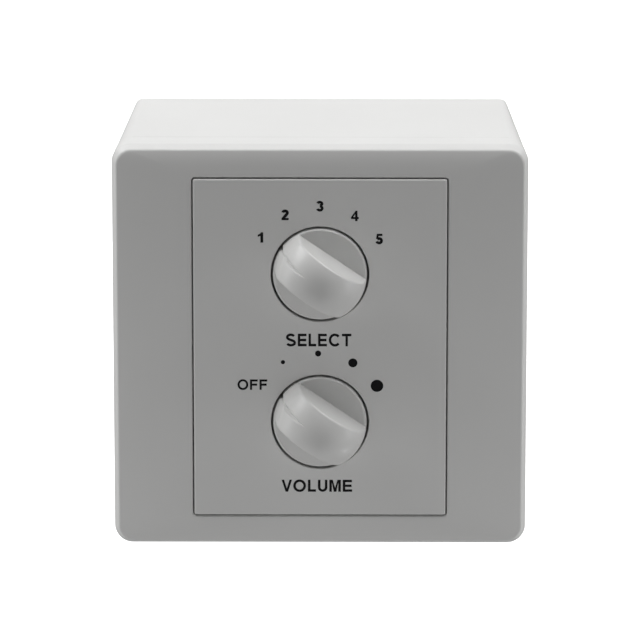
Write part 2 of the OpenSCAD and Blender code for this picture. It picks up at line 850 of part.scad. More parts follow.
module switch_housing(y) {
    notch_at = housing_r + ball_gap / 2;
    color("dimgray") hang() on_axis(y) difference() {
        rod(housing_d, cover_front_z, support_back_z);
        rod(2 * housing_r, cover_front_z - cut, housing_inner_z);
        rod(bushing_d + 2 * push_fit, housing_inner_z - cut, support_back_z + cut);
        for (i = [0 : notch_count - 1]) rotate([0, 0, i * 360 / notch_count])
            translate([notch_at, 0, 0]) rod(2 * notch_r, ball_z - ball_d, ball_z + ball_d / 2);
    }
}

// Rest direction of the contact pins, turned back from the pointer's own direction
module at_pins() {
    rotate([0, 0, -first_angle]) {
        at_points(switch_pins) children(0);
        translate([common_pin[0], common_pin[1], 0]) children(0);
    }
}

module switch_cover(y) {
    color("saddlebrown") hang() on_axis(y) difference() {
        rod(housing_d, cover_back_z, cover_front_z);
        rod(journal_d + 2 * shaft_fit, cover_back_z - cut, cover_front_z + cut);
        at_pins() rod(pin_d + 2 * push_fit, cover_back_z - cut, cover_front_z + cut);
    }
}

module switch_contacts(y) {
    pin_end_z = board_back_z - pin_tail;
    color("goldenrod") hang() on_axis(y) {
        at_pins() rod(pin_d, pin_end_z, cover_front_z + slice);
        rotate([0, 0, -first_angle]) at_points(switch_pins) rod(contact_d, cover_front_z, contact_front_z);
        difference() {
            rod(2 * common_r + common_w, cover_front_z, contact_front_z);
            rod(2 * common_r - common_w, cover_front_z - cut, contact_front_z + cut);
        }
    }
}

// Circuit board

module circuit_board() {
    pin_hole = pin_d + 2 * push_fit;
    color("darkgreen") hang() difference() {
        translate([-board_w / 2, board_bottom, board_back_z]) cube([board_w, board_top - board_bottom, board_t]);
        at_points(concat(spacer_points, core_screw_points)) rod(hole_d, board_back_z - cut, board_front_z + cut);
        for (y = [select_y, volume_y]) translate([0, y, 0])
            at_points(concat(switch_pins, [common_pin])) rod(pin_hole, board_back_z - cut, board_front_z + cut);
        at_points([for (x = pole_x) [x, cage_y]]) rod(pin_hole, board_back_z - cut, board_front_z + cut);
    }
}

module board_spacers() {
    color("goldenrod") hang() at_points(spacer_points) difference() {
        union() {
            hex_rod(spacer_af, board_front_z, support_back_z);
            rod(spacer_stud_d, support_back_z - slice, rim_z);
        }
        rod(screw_d + 2 * push_fit, board_front_z - cut, board_front_z + board_screw_len);
    }
}

// Screw with a flat round head, its head's seat at a distance from the wall and its shank towards the front
module small_screw(seat_z, len) {
    drive_w = screw_head_d / 6;
    difference() {
        union() {
            rod(screw_head_d, seat_z - screw_head_h, seat_z);
            rod(screw_d, seat_z - slice, seat_z + len);
        }
        slab(2 * screw_head_d, drive_w, seat_z - screw_head_h - cut, seat_z - screw_head_h / 2);
    }
}

module board_screws() {
    color("silver") hang() at_points(spacer_points) small_screw(board_back_z, board_screw_len);
}

// Terminals

module terminal_block() {
    chamber_w = cage_w + 2 * cage_gap;
    chamber_end = cage_y + cage_len / 2 + cage_gap;
    color("seagreen") hang() difference() {
        translate([-block_w / 2, block_bottom, block_back_z]) cube([block_w, block_d, block_h]);
        for (x = pole_x) {
            translate([x - chamber_w / 2, block_bottom - cut, cage_back_z - cage_gap])
                cube([chamber_w, chamber_end - block_bottom + cut, cage_h + cage_gap]);
            translate([x, cage_y, 0]) {
                rod(cage_w + 2 * cage_gap, block_back_z - cut, cage_back_z);
                rod(pin_d + 2 * push_fit, cage_front_z - cut, board_back_z + cut);
            }
        }
    }
}

module terminal_cages() {
    wire_z = (cage_front_z + cage_back_z) / 2;
    pin_end_z = board_front_z + pin_tail;
    color("goldenrod") hang() for (x = pole_x) translate([x, cage_y, 0]) difference() {
        union() {
            slab(cage_w, cage_len, cage_back_z, cage_front_z);
            rod(pin_d, cage_front_z - slice, pin_end_z);
        }
        translate([0, cage_len, wire_z]) rotate([90, 0, 0]) rod(wire_d, 0, 2 * cage_len);
    }
}

module terminal_screws() {
    head_h = cage_back_z - terminal_head_z;
    color("silver") hang() for (x = pole_x) translate([x, cage_y, 0]) difference() {
        rod(cage_w, terminal_head_z, cage_back_z);
        slab(2 * cage_w, cage_w / 5, terminal_head_z - cut, terminal_head_z + head_h / 3);
    }
}

// Transformer

module transformer_core() {
    opening_h = core_h - 2 * leg_w;
    color("slategray") hang() translate([0, transformer_y, 0]) difference() {
        slab(core_w, core_h, core_back_z, core_front_z);
        for (side = [-1, 1]) translate([side * (limb_w + window_side) / 2, 0, 0])
            slab(window_side, opening_h, core_back_z - cut, core_front_z + cut);
        at_points([for (x = [-1, 1], y = [-1, 1]) [x * core_screw_x, y * core_screw_y]])
            rod(hole_d, core_back_z - cut, core_front_z + cut);
    }
}

// Rectangular ring round the middle limb, between an inner and an outer size, over a length of the limb
module limb_ring(w, h, hole_w, hole_h, y0, y1) {
    translate([0, transformer_y, core_mid_z]) rotate([90, 0, 0]) difference() {
        slab(w, h, y0, y1);
        slab(hole_w, hole_h, y0 - cut, y1 + cut);
    }
}

module transformer_bobbin() {
    tube_w = limb_w + 2 * bobbin_gap;
    tube_h = core_stack + 2 * bobbin_gap;
    wide = min(taped_w + 2 * bobbin_lip, limb_w + 2 * window_side - 2 * bobbin_gap);
    color("ivory") hang() {
        limb_ring(tube_w + 2 * bobbin_t, tube_h + 2 * bobbin_t, tube_w, tube_h, -coil_len / 2, coil_len / 2);
        for (end = [-coil_len / 2, coil_len / 2 - bobbin_t])
            limb_ring(wide, taped_h + 2 * bobbin_lip, tube_w, tube_h, end, end + bobbin_t);
    }
}

module transformer_winding() {
    hole_w = limb_w + 2 * (bobbin_gap + bobbin_t);
    hole_h = core_stack + 2 * (bobbin_gap + bobbin_t);
    half = coil_len / 2 - bobbin_t;
    color("peru") hang() limb_ring(wound_w, wound_h, hole_w, hole_h, -half, half);
}

module transformer_tape() {
    half = coil_len / 2 - bobbin_t;
    color("khaki") hang() limb_ring(taped_w, taped_h, wound_w, wound_h, -half, half);
}

module transformer_screws() {
    screw_len = board_front_z + small_nut_t - core_back_z;
    color("silver") hang() at_points(core_screw_points) small_screw(core_back_z, screw_len);
}

module transformer_spacers() {
    color("goldenrod") hang() at_points(core_screw_points) difference() {
        rod(hole_d + 2 * tube_wall, core_front_z, board_back_z);
        rod(hole_d, core_front_z - cut, board_back_z + cut);
    }
}

module transformer_nuts() {
    color("silver") hang() at_points(core_screw_points) difference() {
        hex_rod(small_nut_af, board_front_z, board_front_z + small_nut_t);
        rod(screw_d + 2 * push_fit, board_front_z - cut, board_front_z + small_nut_t + cut);
    }
}

// Leads from the sides of the coil, out over the core's legs and forward to the board
module transformer_leads() {
    start_x = taped_w / 2;
    bend_x = start_x + 2 * lead_d;
    out_z = core_front_z + (taped_h - core_stack) / 4 + lead_d / 4;
    path = [
        [start_x, 0, out_z],
        [start_x + lead_d, 0, out_z],
        [bend_x, 0, out_z + lead_d / 2],
        [bend_x + lead_d / 2, 0, out_z + 1.5 * lead_d],
        [bend_x + lead_d / 2, 0, board_back_z]
    ];
    color("firebrick") hang() for (y = lead_y) translate([0, y, 0]) {
        swept_tube(path, lead_d, [0, 1, 0]);
        mirror([1, 0, 0]) swept_tube(path, lead_d, [0, 1, 0]);
    }
}

back_box();
post_inserts();
support_plate();
plate_screws();
trim_frame();
insert_panel();
knob(select_y);  // select_knob
switch_shaft(select_y);  // select_shaft
switch_rotor(select_y);  // select_rotor
switch_wiper(select_y);  // select_wiper
switch_spring(select_y);  // select_spring
switch_ball(select_y);  // select_ball
switch_bushing(select_y);  // select_bushing
switch_washer(select_y);  // select_washer
switch_nut(select_y);  // select_nut
switch_housing(select_y);  // select_housing
switch_cover(select_y);  // select_cover
switch_contacts(select_y);  // select_contacts
knob(volume_y);  // volume_knob
switch_shaft(volume_y);  // volume_shaft
switch_rotor(volume_y);  // volume_rotor
switch_wiper(volume_y);  // volume_wiper
switch_spring(volume_y);  // volume_spring
switch_ball(volume_y);  // volume_ball
switch_bushing(volume_y);  // volume_bushing
switch_washer(volume_y);  // volume_washer
switch_nut(volume_y);  // volume_nut
switch_housing(volume_y);  // volume_housing
switch_cover(volume_y);  // volume_cover
switch_contacts(volume_y);  // volume_contacts
circuit_board();
board_spacers();
board_screws();
terminal_block();
terminal_cages();
terminal_screws();
transformer_core();
transformer_bobbin();
transformer_winding();
transformer_tape();
transformer_screws();
transformer_spacers();
transformer_nuts();
transformer_leads();
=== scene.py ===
import math

import bmesh
import bpy
from mathutils import Matrix, Vector


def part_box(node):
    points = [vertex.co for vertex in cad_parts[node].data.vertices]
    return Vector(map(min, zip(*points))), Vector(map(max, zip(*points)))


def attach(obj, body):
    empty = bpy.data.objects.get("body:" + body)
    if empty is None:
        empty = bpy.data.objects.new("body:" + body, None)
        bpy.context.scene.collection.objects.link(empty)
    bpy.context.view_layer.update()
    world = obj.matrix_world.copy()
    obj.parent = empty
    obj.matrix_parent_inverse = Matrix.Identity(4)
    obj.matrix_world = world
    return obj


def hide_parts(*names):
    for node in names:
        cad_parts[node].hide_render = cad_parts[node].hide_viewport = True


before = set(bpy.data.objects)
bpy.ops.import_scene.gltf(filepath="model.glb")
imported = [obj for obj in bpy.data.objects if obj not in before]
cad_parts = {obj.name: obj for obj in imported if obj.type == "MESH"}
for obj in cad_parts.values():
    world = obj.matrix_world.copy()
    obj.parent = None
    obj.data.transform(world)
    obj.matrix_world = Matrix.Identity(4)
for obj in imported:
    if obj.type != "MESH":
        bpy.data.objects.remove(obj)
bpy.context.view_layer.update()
scene = bpy.context.scene

# Surface box: a square tub of white ABS, narrower at the wall, that holds the works and carries the frame.
# It is moulded in one shot with drafted walls. Posts, ribs and corner bosses stand inside, and the back
# has two wall screw holes and a round cable entry.
box_low, box_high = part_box("back_box")
rim_half = box_high.x
rim_depth = -box_low.y
post_front = -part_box("support_plate")[1].y
back_half = 0.0399
back_corner = 0.0016
rim_corner = 0.0038
back_round = 0.0006
rim_round = 0.0001
box_wall = 0.0022
back_wall = 0.0025
post_at = 0.03015
post_radius = 0.00425
post_bore = 0.00281
post_bore_depth = 0.020
rib_thick = 0.002
boss_at = 0.035
boss_radius = 0.0035
wall_hole_at = 0.030
wall_hole_radius = 0.00225
entry_drop = 0.014
entry_radius = 0.008
hole_chamfer = 0.0003
overlap = 0.0004
edge_steps = 5


def rounded_ring(half_w, half_h, radius, depth, depth_above=None, steps=8):
    """Upright rectangle with round corners. Its sides and its top may differ in distance from the wall."""
    if depth_above is None:
        depth_above = depth
    ring = []
    for quarter, (side_x, side_z) in enumerate(((1, 1), (-1, 1), (-1, -1), (1, -1))):
        for step in range(steps + 1):
            angle = math.radians(90) * (quarter + step / steps)
            x = side_x * (half_w - radius) + radius * math.cos(angle)
            z = side_z * (half_h - radius) + radius * math.sin(angle)
            share = math.sin(angle) ** 2
            ring.append(Vector((x, -depth - share * (depth_above - depth), z)))
    return ring


def round_ring(radius, depth, x=0.0, z=0.0, steps=64):
    """Points of a circle on a plane parallel to the wall."""
    angles = [math.tau * step / steps for step in range(steps)]
    return [Vector((x + radius * math.cos(a), -depth, z + radius * math.sin(a))) for a in angles]


def quarter_turn(steps):
    """Angles from nothing to a right angle, for the points of a rounded edge."""
    return [math.radians(90) * step / steps for step in range(steps + 1)]


def skin(rings, closed=False):
    """Quads between neighbouring rings, with a cap on each end unless the last ring meets the first."""
    shape = bmesh.new()
    loops = [[shape.verts.new(point) for point in ring] for ring in rings]
    followers = loops[1:] + loops[:1] if closed else loops[1:]
    for near, far in zip(loops, followers):
        for i in range(len(near)):
            j = (i + 1) % len(near)
            shape.faces.new((near[i], near[j], far[j], far[i]))
    if not closed:
        shape.faces.new(loops[0])
        shape.faces.new(loops[-1])
    bmesh.ops.recalc_face_normals(shape, faces=shape.faces)
    return shape


def make_piece(name, shape):
    """Object of a closed shape."""
    data = bpy.data.meshes.new(name)
    shape.to_mesh(data)
    shape.free()
    piece = bpy.data.objects.new(name, data)
    scene.collection.objects.link(piece)
    return piece


def combine(piece, tools, how):
    """Joins tool shapes to a piece, or cuts them out of it, and throws them away."""
    for shape in tools:
        tool = make_piece("tool", shape)
        change = piece.modifiers.new(how, "BOOLEAN")
        change.operation = how
        change.solver = "EXACT"
        change.object = tool
        changed = piece.evaluated_get(bpy.context.evaluated_depsgraph_get())
        data = bpy.data.meshes.new_from_object(changed)
        piece.modifiers.clear()
        piece.data = data
        bpy.data.objects.remove(tool)


def soften(piece, sharp=35):
    """Smooth shading that breaks at edges sharper than an angle in degrees and keeps large faces flat."""
    shape = bmesh.new()
    shape.from_mesh(piece.data)
    for face in shape.faces:
        face.smooth = True
    for edge in shape.edges:
        edge.smooth = edge.calc_face_angle(math.pi) < math.radians(sharp)
    shape.to_mesh(piece.data)
    shape.free()
    piece.modifiers.new("flat_faces", "WEIGHTED_NORMAL").keep_sharp = True


def slab(low, high):
    """Rectangular block between two corners."""
    shape = bmesh.new()
    bmesh.ops.create_cube(shape, size=1)
    place = Matrix.Translation((low + high) / 2) @ Matrix.Diagonal(high - low).to_4x4()
    bmesh.ops.transform(shape, matrix=place, verts=shape.verts)
    return shape


def box_half(depth):
    """Half the width of the box at a distance from the wall."""
    return back_half + (rim_half - back_half) * depth / rim_depth


def box_corner(depth):
    """Radius of the box's long edges at a distance from the wall."""
    return back_corner + (rim_corner - back_corner) * depth / rim_depth


box_rings = []
for turn in quarter_turn(edge_steps):
    inset = back_round * (1 - math.sin(turn))
    depth = back_round * (1 - math.cos(turn))
    box_rings.append(rounded_ring(back_half - inset, back_half - inset, back_corner - inset, depth))
box_rings.append(rounded_ring(rim_half, rim_half, rim_corner, rim_depth - rim_round))
box_rings.append(rounded_ring(rim_half - rim_round, rim_half - rim_round, rim_corner, rim_depth))
for depth in (rim_depth, back_wall):
    inner = box_half(depth) - box_wall
    box_rings.append(rounded_ring(inner, inner, max(box_corner(depth) - box_wall, back_corner / 2), depth))
surface_box = make_piece("surface_box", skin(box_rings))

posts = []
post_ends = (back_wall - overlap, post_front)
for side in (-1, 1):
    posts.append(skin([round_ring(post_radius, d, side * post_at) for d in post_ends]))
    rib_ends = sorted((side * post_at, side * (back_half - overlap)))
    posts.append(slab(
        Vector((rib_ends[0], -post_front, -rib_thick / 2)),
        Vector((rib_ends[1], overlap - back_wall, rib_thick / 2)),
    ))
    for level in (-1, 1):
        posts.append(skin([round_ring(boss_radius, d, side * boss_at, level * boss_at) for d in post_ends]))
combine(surface_box, posts, "UNION")


def hole_cutter(radius, x, z):
    """Drill through the back with a countersunk outer edge."""
    profile = [(radius + 2 * hole_chamfer, -hole_chamfer), (radius, hole_chamfer), (radius, 2 * back_wall)]
    return skin([round_ring(r, depth, x, z) for r, depth in profile])


back_holes = [hole_cutter(entry_radius, 0, -entry_drop)]
bore_ends = (post_front - post_bore_depth, post_front + overlap)
for side in (-1, 1):
    back_holes.append(hole_cutter(wall_hole_radius, 0, side * wall_hole_at))
    back_holes.append(skin([round_ring(post_bore, d, side * post_at) for d in bore_ends]))
combine(surface_box, back_holes, "DIFFERENCE")
soften(surface_box)


def new_group(name, inputs, outputs):
    """Empty shader group with named inputs and outputs, and its two end nodes."""
    group = bpy.data.node_groups.new(name, "ShaderNodeTree")
    for label, value in inputs.items():
        socket = group.interface.new_socket(label, in_out="INPUT", socket_type="NodeSocketFloat")
        socket.default_value = value
    for label in outputs:
        group.interface.new_socket(label, in_out="OUTPUT", socket_type="NodeSocketFloat")
    return group, group.nodes.new("NodeGroupInput"), group.nodes.new("NodeGroupOutput")


def noise(tree, place, scale, detail):
    """Noise node on a place socket, with its scale from a socket or a number."""
    node = tree.nodes.new("ShaderNodeTexNoise")
    node.inputs["Detail"].default_value = detail
    tree.links.new(place, node.inputs["Vector"])
    if isinstance(scale, bpy.types.NodeSocket):
        tree.links.new(scale, node.inputs["Scale"])
    else:
        node.inputs["Scale"].default_value = scale
    return node.outputs["Fac"]


# Moulded grain gives the fine spark-eroded texture of a mould and the slow drift of gloss and tone over it.
moulded_grain, grain_in, grain_out = new_group(
    "moulded_grain", {"Grain": 4000.0, "Drift": 60.0}, ("Height", "Drift")
)
grain_place = moulded_grain.nodes.new("ShaderNodeTexCoord").outputs["Object"]
grain_height = noise(moulded_grain, grain_place, grain_in.outputs["Grain"], detail=3)
moulded_grain.links.new(grain_height, grain_out.inputs["Height"])
grain_drift = noise(moulded_grain, grain_place, grain_in.outputs["Drift"], detail=2)
moulded_grain.links.new(grain_drift, grain_out.inputs["Drift"])


def mapped(tree, value, low, high):
    """Value from 0 to 1 spread between two others."""
    node = tree.nodes.new("ShaderNodeMapRange")
    node.inputs["To Min"].default_value = low
    node.inputs["To Max"].default_value = high
    tree.links.new(value, node.inputs["Value"])
    return node.outputs["Result"]


def blended(tree, share, first, second):
    """Colour between two others."""
    node = tree.nodes.new("ShaderNodeMix")
    node.data_type = "RGBA"
    node.inputs["A"].default_value = (*first, 1)
    node.inputs["B"].default_value = (*second, 1)
    tree.links.new(share, node.inputs["Factor"])
    return node.outputs["Result"]


def bumped(tree, height, strength, distance):
    """Normal of a surface with a height over it."""
    node = tree.nodes.new("ShaderNodeBump")
    node.inputs["Strength"].default_value = strength
    node.inputs["Distance"].default_value = distance
    tree.links.new(height, node.inputs["Height"])
    return node.outputs["Normal"]


def new_material(name):
    """Empty node material, with its Principled shader."""
    material = bpy.data.materials.new(name)
    material.use_nodes = True
    return material, material.node_tree, material.node_tree.nodes["Principled BSDF"]


def moulded_plastic(name, light, dark, gloss, grain=4000.0, depth=0.000004, drift=60.0):
    """Plastic out of a mould, between two tones and two values of roughness, with a fine grain."""
    material, tree, shader = new_material(name)
    effect = tree.nodes.new("ShaderNodeGroup")
    effect.node_tree = moulded_grain
    effect.inputs["Grain"].default_value = grain
    effect.inputs["Drift"].default_value = drift
    links = tree.links
    links.new(blended(tree, effect.outputs["Drift"], dark, light), shader.inputs["Base Color"])
    links.new(mapped(tree, effect.outputs["Drift"], *gloss), shader.inputs["Roughness"])
    links.new(bumped(tree, effect.outputs["Height"], strength=0.5, distance=depth), shader.inputs["Normal"])
    shader.inputs["IOR"].default_value = 1.5
    return material


def dress(material, *names):
    """Puts a material on nodes that stay as the frame gives them."""
    for name in names:
        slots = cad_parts[name].data.materials
        slots.clear()
        slots.append(material)


white_plastic = moulded_plastic(
    "white_plastic", light=(0.83, 0.83, 0.82), dark=(0.80, 0.80, 0.79), gloss=(0.36, 0.44)
)
surface_box.data.materials.append(white_plastic)
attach(surface_box, "housing")
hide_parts("back_box")

# Support plate and steel hardware: a zinc-plated sheet screwed to the posts, with the nuts, washers,
# bushings, shafts, springs, balls and screws of the works. They are turned, stamped or wound, and plated.
brush_pull = (0.06, 1, 1)
brushed_metal, brush_in, brush_out = new_group(
    "brushed_metal", {"Lines": 900.0, "Drift": 120.0}, ("Lines", "Drift")
)
brush_place = brushed_metal.nodes.new("ShaderNodeTexCoord").outputs["Object"]
brush_stretch = brushed_metal.nodes.new("ShaderNodeVectorMath")
brush_stretch.operation = "MULTIPLY"
brush_stretch.inputs[1].default_value = brush_pull
brushed_metal.links.new(brush_place, brush_stretch.inputs[0])
brush_lines = noise(brushed_metal, brush_stretch.outputs["Vector"], brush_in.outputs["Lines"], detail=4)
brushed_metal.links.new(brush_lines, brush_out.inputs["Lines"])
brush_drift = noise(brushed_metal, brush_place, brush_in.outputs["Drift"], detail=2)
brushed_metal.links.new(brush_drift, brush_out.inputs["Drift"])


def metal(name, light, dark, gloss, lines=900.0):
    """Bare or plated metal with drawn lines and a slow drift of tone."""
    material, tree, shader = new_material(name)
    effect = tree.nodes.new("ShaderNodeGroup")
    effect.node_tree = brushed_metal
    effect.inputs["Lines"].default_value = lines
    links = tree.links
    links.new(blended(tree, effect.outputs["Drift"], dark, light), shader.inputs["Base Color"])
    links.new(mapped(tree, effect.outputs["Lines"], *gloss), shader.inputs["Roughness"])
    links.new(bumped(tree, effect.outputs["Lines"], strength=0.2, distance=0.00001), shader.inputs["Normal"])
    shader.inputs["Metallic"].default_value = 1
    return material


switches = ("select", "volume")
steel_parts = ("shaft", "spring", "ball", "bushing", "washer", "nut")
plated_steel = metal("plated_steel", light=(0.70, 0.71, 0.72), dark=(0.56, 0.57, 0.58), gloss=(0.24, 0.42))
dress(plated_steel, "support_plate", "plate_screws", "board_screws", "terminal_screws")
dress(plated_steel, "transformer_screws", "transformer_nuts")
for switch in switches:
    dress(plated_steel, *[f"{switch}_{part}" for part in steel_parts])

# Brass parts: threaded inserts pressed into the posts, hexagonal board spacers, tubes under the transformer,
# terminal cages, and the wipers and fixed contacts of the switches. They are turned or stamped, and bare.
brass = metal("brass", light=(0.80, 0.60, 0.27), dark=(0.66, 0.46, 0.17), gloss=(0.22, 0.38))
dress(brass, "post_inserts", "board_spacers", "transformer_spacers", "terminal_cages")
for switch in switches:
    dress(brass, f"{switch}_wiper", f"{switch}_contacts")

# Switch mouldings: black housings with detent notches, nylon rotors and brown laminate covers.
# The housing and rotor are moulded, and the cover is punched from sheet.
black_plastic = moulded_plastic(
    "black_plastic", light=(0.035, 0.035, 0.037), dark=(0.022, 0.022, 0.024), gloss=(0.42, 0.55)
)
nylon = moulded_plastic("nylon", light=(0.80, 0.76, 0.66), dark=(0.73, 0.69, 0.58), gloss=(0.40, 0.52))
laminate = moulded_plastic(
    "laminate", light=(0.24, 0.11, 0.05), dark=(0.15, 0.065, 0.03), gloss=(0.34, 0.55),
    grain=1500.0, drift=900.0,
)
for switch in switches:
    dress(black_plastic, f"{switch}_housing")
    dress(nylon, f"{switch}_rotor")
    dress(laminate, f"{switch}_cover")

# Circuit board and terminal block: glass laminate under a green solder mask, and a green moulded block.
# The copper tracks show through the mask as paler lines, etched on a coarse grid.
board_green = (0.012, 0.10, 0.035)
track_green = (0.04, 0.22, 0.08)
track_grid = 180.0
solder_mask, mask_tree, mask_shader = new_material("solder_mask")
track_place = mask_tree.nodes.new("ShaderNodeTexCoord").outputs["Object"]
tracks = mask_tree.nodes.new("ShaderNodeTexVoronoi")
tracks.distance = "MANHATTAN"
tracks.feature = "F2"
tracks.inputs["Scale"].default_value = track_grid
mask_tree.links.new(track_place, tracks.inputs["Vector"])
track_mask = mask_tree.nodes.new("ShaderNodeMath")
track_mask.operation = "PINGPONG"
track_mask.inputs[1].default_value = 0.5
mask_tree.links.new(tracks.outputs["Distance"], track_mask.inputs[0])
track_share = track_mask.outputs[0]
board_tone = blended(mask_tree, track_share, board_green, track_green)
mask_tree.links.new(board_tone, mask_shader.inputs["Base Color"])
board_gloss = mapped(mask_tree, track_share, low=0.22, high=0.34)
mask_tree.links.new(board_gloss, mask_shader.inputs["Roughness"])
board_relief = bumped(mask_tree, track_share, strength=0.4, distance=0.00003)
mask_tree.links.new(board_relief, mask_shader.inputs["Normal"])
dress(solder_mask, "circuit_board")
green_plastic = moulded_plastic(
    "green_plastic", light=(0.03, 0.24, 0.09), dark=(0.02, 0.17, 0.06), gloss=(0.38, 0.5)
)
dress(green_plastic, "terminal_block")

# Line transformer: a stack of varnished iron sheets round a nylon bobbin, wound with enamelled copper
# and wrapped in yellow film, with six insulated leads to the board.
sheet_pitch = 0.00035
sheet_dark = (0.05, 0.05, 0.055)
sheet_light = (0.20, 0.20, 0.21)
iron, iron_tree, iron_shader = new_material("iron_sheets")
iron_place = iron_tree.nodes.new("ShaderNodeTexCoord").outputs["Object"]
sheets = iron_tree.nodes.new("ShaderNodeTexWave")
sheets.bands_direction = "Y"
sheets.inputs["Scale"].default_value = math.pi / (10 * sheet_pitch)
sheets.inputs["Distortion"].default_value = 0.3
iron_tree.links.new(iron_place, sheets.inputs["Vector"])
sheet_share = sheets.outputs["Fac"]
iron_tone = blended(iron_tree, sheet_share, sheet_dark, sheet_light)
iron_tree.links.new(iron_tone, iron_shader.inputs["Base Color"])
iron_gloss = mapped(iron_tree, sheet_share, low=0.6, high=0.35)
iron_tree.links.new(iron_gloss, iron_shader.inputs["Roughness"])
iron_relief = bumped(iron_tree, sheet_share, strength=0.5, distance=0.00005)
iron_tree.links.new(iron_relief, iron_shader.inputs["Normal"])
iron_shader.inputs["Metallic"].default_value = 0.7
dress(iron, "transformer_core")
copper = metal(
    "enamelled_copper", light=(0.62, 0.26, 0.11), dark=(0.45, 0.16, 0.06), gloss=(0.2, 0.36), lines=2500.0
)
film = moulded_plastic(
    "yellow_film", light=(0.82, 0.60, 0.14), dark=(0.70, 0.48, 0.09), gloss=(0.18, 0.32), drift=250.0
)
insulation = moulded_plastic(
    "red_insulation", light=(0.48, 0.03, 0.025), dark=(0.36, 0.02, 0.018), gloss=(0.38, 0.5)
)
dress(nylon, "transformer_bobbin")
dress(copper, "transformer_winding")
dress(film, "transformer_tape")
dress(insulation, "transformer_leads")

# Front frame: a square cover of white ABS that snaps over the rim with four barbed legs.
# Its edge is drafted back to a widest line, and its face is a shallow pillow, mitred from the corners
# to the window.
frame_low, frame_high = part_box("trim_frame")
plate_half = frame_high.x
panel_depth = -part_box("insert_panel")[0].y
frame_depth = -frame_low.y
flange_inset = 0.0034
flange_depth = panel_depth - flange_inset
window_half_w = 0.0265
window_half_h = 0.0364
window_corner = 0.0007
window_round = 0.00035
edge_in = 0.0006
edge_draft = 0.0015
edge_round = 0.0007
line_round = 0.00025
face_fall = 0.00055
face_power = 3
bend_steps = 6
face_steps = 12
corner_steps = 12
seam_in = plate_half - rim_half
frame_wall = 0.0022
side_depth = frame_depth - face_fall - edge_round - edge_draft
hook_at = 0.0366
hook_thick = 0.0016
hook_wide = 0.006
hook_barb = 0.0008
hook_pitch = 0.040
hook_foot = 0.0440
hook_catch = 0.04495


def frame_profile(band):
    """Inset from the widest line and distance from the wall, round the section of a side of the frame."""
    lean = math.atan2(edge_in, edge_draft)
    slope = math.atan2(face_power * face_fall, band - edge_in - edge_round)
    middle_depth = frame_depth - face_fall - edge_round * math.cos(slope)
    lean_end = middle_depth + edge_round * math.sin(lean)
    middle_in = (lean_end - side_depth) * math.tan(lean) + edge_round * math.cos(lean)
    face_in = middle_in - edge_round * math.sin(slope)
    section = [
        (seam_in + rim_round, rim_depth),
        (seam_in, rim_depth + rim_round),
        (line_round * seam_in / (side_depth - rim_depth), side_depth - line_round),
        (line_round * math.tan(lean), side_depth + line_round),
    ]
    for step in range(bend_steps + 1):
        turn = lean + (math.radians(90) - slope - lean) * step / bend_steps
        section.append((middle_in - edge_round * math.cos(turn), middle_depth + edge_round * math.sin(turn)))
    for step in range(1, face_steps + 1):
        inset = face_in + (band - window_round - face_in) * step / face_steps
        fall = face_fall * ((band - inset) / (band - face_in)) ** face_power
        section.append((inset, frame_depth - fall))
    for turn in quarter_turn(edge_steps)[1:]:
        section.append((
            band - window_round * (1 - math.sin(turn)),
            frame_depth - window_round * (1 - math.cos(turn)),
        ))
    section.append((band, flange_depth))
    section.append((seam_in + frame_wall, flange_depth))
    section.append((seam_in + frame_wall, rim_depth))
    return section


frame_rings = []
side_section = frame_profile(plate_half - window_half_w)
top_section = frame_profile(plate_half - window_half_h)
inner_points = 3
face_points = len(side_section) - inner_points
for index, ((in_x, depth_x), (in_z, depth_z)) in enumerate(zip(side_section, top_section)):
    to_window = min(in_z / (plate_half - window_half_h), 1)
    corner = rim_corner + to_window * (window_corner - rim_corner)
    if index > face_points:
        corner = rim_corner - frame_wall / 2
    frame_rings.append(
        rounded_ring(plate_half - in_x, plate_half - in_z, corner, depth_x, depth_z, steps=corner_steps)
    )
front_frame = make_piece("front_frame", skin(frame_rings, closed=True))

hooks = []
for side in (-1, 1):
    for level in (-1, 1):
        lower = level * hook_pitch / 2 - hook_wide / 2
        leg = sorted((side * hook_at, side * (hook_at + hook_thick)))
        barb = sorted((side * (hook_at + hook_thick - overlap), side * (hook_at + hook_thick + hook_barb)))
        hooks.append(slab(
            Vector((leg[0], -flange_depth - overlap, lower)),
            Vector((leg[1], -hook_foot, lower + hook_wide)),
        ))
        hooks.append(slab(
            Vector((barb[0], -hook_catch, lower)),
            Vector((barb[1], -hook_foot, lower + hook_wide)),
        ))
combine(front_frame, hooks, "UNION")
soften(front_frame)
front_frame.data.materials.append(white_plastic)
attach(front_frame, "housing")
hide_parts("trim_frame")

# Insert panel: a flat white ABS plate, a hair proud of the frame's window with a narrow groove round it.
# A flange holds it behind the frame, and the two knob wells and four feet are moulded on its back.
panel_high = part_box("insert_panel")[1]
panel_half_w = 0.0262
panel_half_h = 0.0361
panel_corner = 0.0004
panel_round = 0.0003
flange_half_w = panel_high.x
flange_half_h = panel_high.z
flange_back_deep = 0.0048
flange_back = panel_depth - flange_back_deep
foot_radius = 0.002
well_radius = 0.0102
well_wall = 0.0015
well_deep = 0.0046
well_back_deep = 0.0058
well_floor = panel_depth - well_deep
well_back = panel_depth - well_back_deep
well_lip = 0.00015
well_steps = 128
shaft_hole = 0.0036
knob_levels = {}
for switch in switches:
    shaft_low, shaft_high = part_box(f"{switch}_shaft")
    knob_levels[switch] = (shaft_low.z + shaft_high.z) / 2

